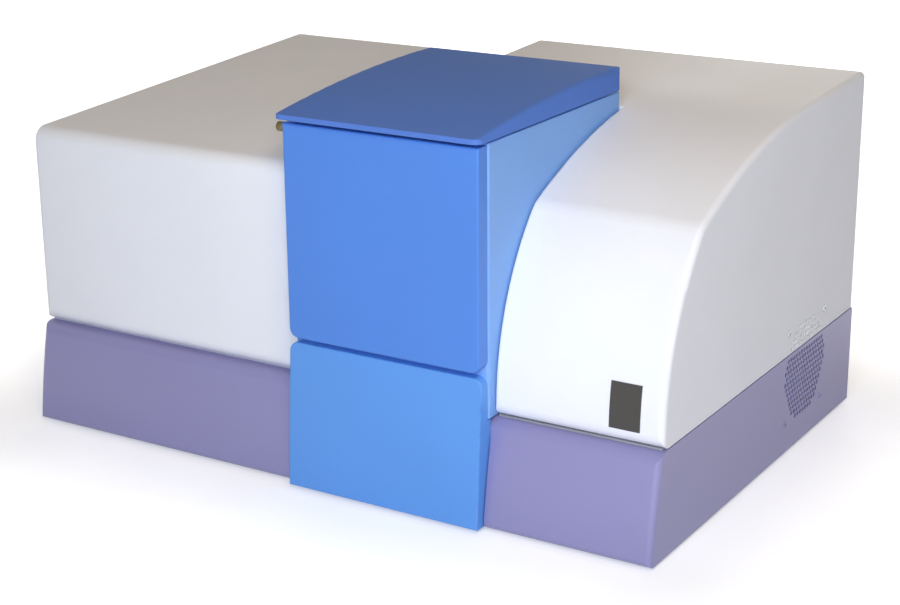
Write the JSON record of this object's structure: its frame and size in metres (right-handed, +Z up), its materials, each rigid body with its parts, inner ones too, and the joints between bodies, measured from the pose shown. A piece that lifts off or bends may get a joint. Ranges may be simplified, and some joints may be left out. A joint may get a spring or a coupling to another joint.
{
  "type": "benchtop fluorometer",
  "caption": "Benchtop fluorometer: pale moulded covers on a lilac base, a blue centre tower with a hinged lid over a light-tight sample compartment, full optical bench inside.",
  "frame": {"origin": "middle of the footprint, on the table under the feet", "axes": "+Z up, +Y to the back, +X to the instrument's right seen from the front"},
  "size_m": [0.618, 0.435, 0.336],
  "materials": {
    "cover_white": "fine textured moulded plastic, pale neutral grey-white",
    "base_lilac": "fine textured moulded plastic, grey lilac",
    "panel_blue": "satin moulded plastic, strong blue",
    "apron_blue": "satin moulded plastic, lighter blue",
    "lid_blue": "fine textured moulded plastic, deep slate blue",
    "tower_blue": "fine textured moulded plastic, light blue",
    "trim_grey": "pale grey trim",
    "rubber_black": "matt rubber",
    "foam_black": "closed cell foam",
    "pad_olive": "olive brown rubber",
    "plastic_black": "black moulded plastic",
    "anodised_black": "black anodised, blackened for stray light",
    "aluminium_plate": "milled",
    "steel_sheet": "zinc plated sheet",
    "steel_fixing": "plated fixings",
    "silica": "polished fused silica",
    "filter_glass": "coloured filter glass",
    "mirror_coat": "front surface coating",
    "grating_ruling": "ruled and coated",
    "board_green": "printed circuit board"
  },
  "bodies": {
    "instrument": {"absorbance_detector": "anodised_black", "base_tray": "base_lilac", "bench_plate": "aluminium_plate", "bench_posts": "steel_fixing", "bench_screws": "steel_fixing", "ccd_head": "anodised_black", "concave_grating": "grating_ruling", "cover_screws": "steel_fixing", "cuvette_holder": "anodised_black", "data_sockets": "steel_fixing", "emission_lens": "silica", "emission_lens_tube": "anodised_black", "excitation_lens": "silica", "excitation_lens_tube": "anodised_black", "fan_frame": "plastic_black", "fan_screws": "steel_fixing", "feet": "rubber_black", "filter_wheel_motor": "steel_sheet", "grating_motors": "plastic_black", "hinge_fixed_leaves": "steel_fixing", "hinge_pins": "steel_fixing", "lamp_housing": "aluminium_plate", "lamp_reflector": "mirror_coat", "lamp_supply": "steel_sheet", "left_cover": "cover_white", "lid_rest_pad": "pad_olive", "light_seal": "foam_black", "lower_front_panel": "apron_blue", "main_board": "board_green", "monochromator_case": "anodised_black", "monochromator_lid": "anodised_black", "monochromator_mirrors": "mirror_coat", "panel_studs": "plastic_black", "power_inlet": "plastic_black", "power_supply": "steel_sheet", "rear_io_plate": "steel_sheet", "right_cover": "cover_white", "rocker_frame": "plastic_black", "sample_well": "anodised_black", "seam_gasket": "trim_grey", "shutter_actuator": "plastic_black", "spectrograph_case": "anodised_black", "spectrograph_lid": "anodised_black", "tower_housing": "tower_blue", "transmission_lens": "silica", "transmission_lens_tube": "anodised_black", "upper_front_panel": "panel_blue", "xenon_lamp": "silica"},
    "lid": {"lid_shell": "lid_blue", "lid_liner": "plastic_black", "hinge_lid_leaves": "steel_fixing"},
    "cuvette_body": {"cuvette": "silica"},
    "rocker": {"rocker_paddle": "plastic_black"},
    "fan": {"fan_rotor": "plastic_black"},
    "grating_a": {"grating_turntable_a": "grating_ruling"},
    "grating_b": {"grating_turntable_b": "grating_ruling"},
    "shutter": {"shutter_blade": "anodised_black"},
    "filter_carousel": {"filter_wheel": "anodised_black", "order_filters": "filter_glass"}
  },
  "joints": [
    {"name": "lid_hinge", "type": "hinge", "parent": "instrument", "child": "lid", "pos_m": [0.071, 0.0231, 0.3145], "axis": [-1, 0, 0], "range_deg": [0, 85]},
    {"name": "cuvette_lift", "type": "slide", "parent": "instrument", "child": "cuvette_body", "axis": [0, 0, 1], "range_m": [0, 0.06]},
    {"name": "power_rocker", "type": "hinge", "parent": "instrument", "child": "rocker", "pos_m": [0.224, 0.2091, 0.026], "axis": [-1, 0, 0], "range_deg": [0, 18]},
    {"name": "fan_spin", "type": "hinge", "parent": "instrument", "child": "fan", "pos_m": [0.294, 0.0975, 0.0713], "axis": [1, 0, 0], "continuous": true},
    {"name": "grating_a_scan", "type": "hinge", "parent": "instrument", "child": "grating_a", "pos_m": [-0.165, -0.0085, 0.063], "axis": [0, 0, 1], "range_deg": [-35, 35]},
    {"name": "grating_b_scan", "type": "hinge", "parent": "instrument", "child": "grating_b", "pos_m": [-0.112, -0.0525, 0.063], "axis": [0, 0, 1], "range_deg": [-35, 35]},
    {"name": "shutter_swing", "type": "hinge", "parent": "instrument", "child": "shutter", "pos_m": [-0.0655, -0.0695, 0.148], "axis": [-1, 0, 0], "range_deg": [0, 40]},
    {"name": "filter_wheel_turn", "type": "hinge", "parent": "instrument", "child": "filter_carousel", "pos_m": [-0.0395, -0.0985, 0.123], "axis": [1, 0, 0], "continuous": true}
  ],
  "couplings": [
    {"joint": "grating_b_scan", "follows": "grating_a_scan", "ratio": 1}
  ]
}
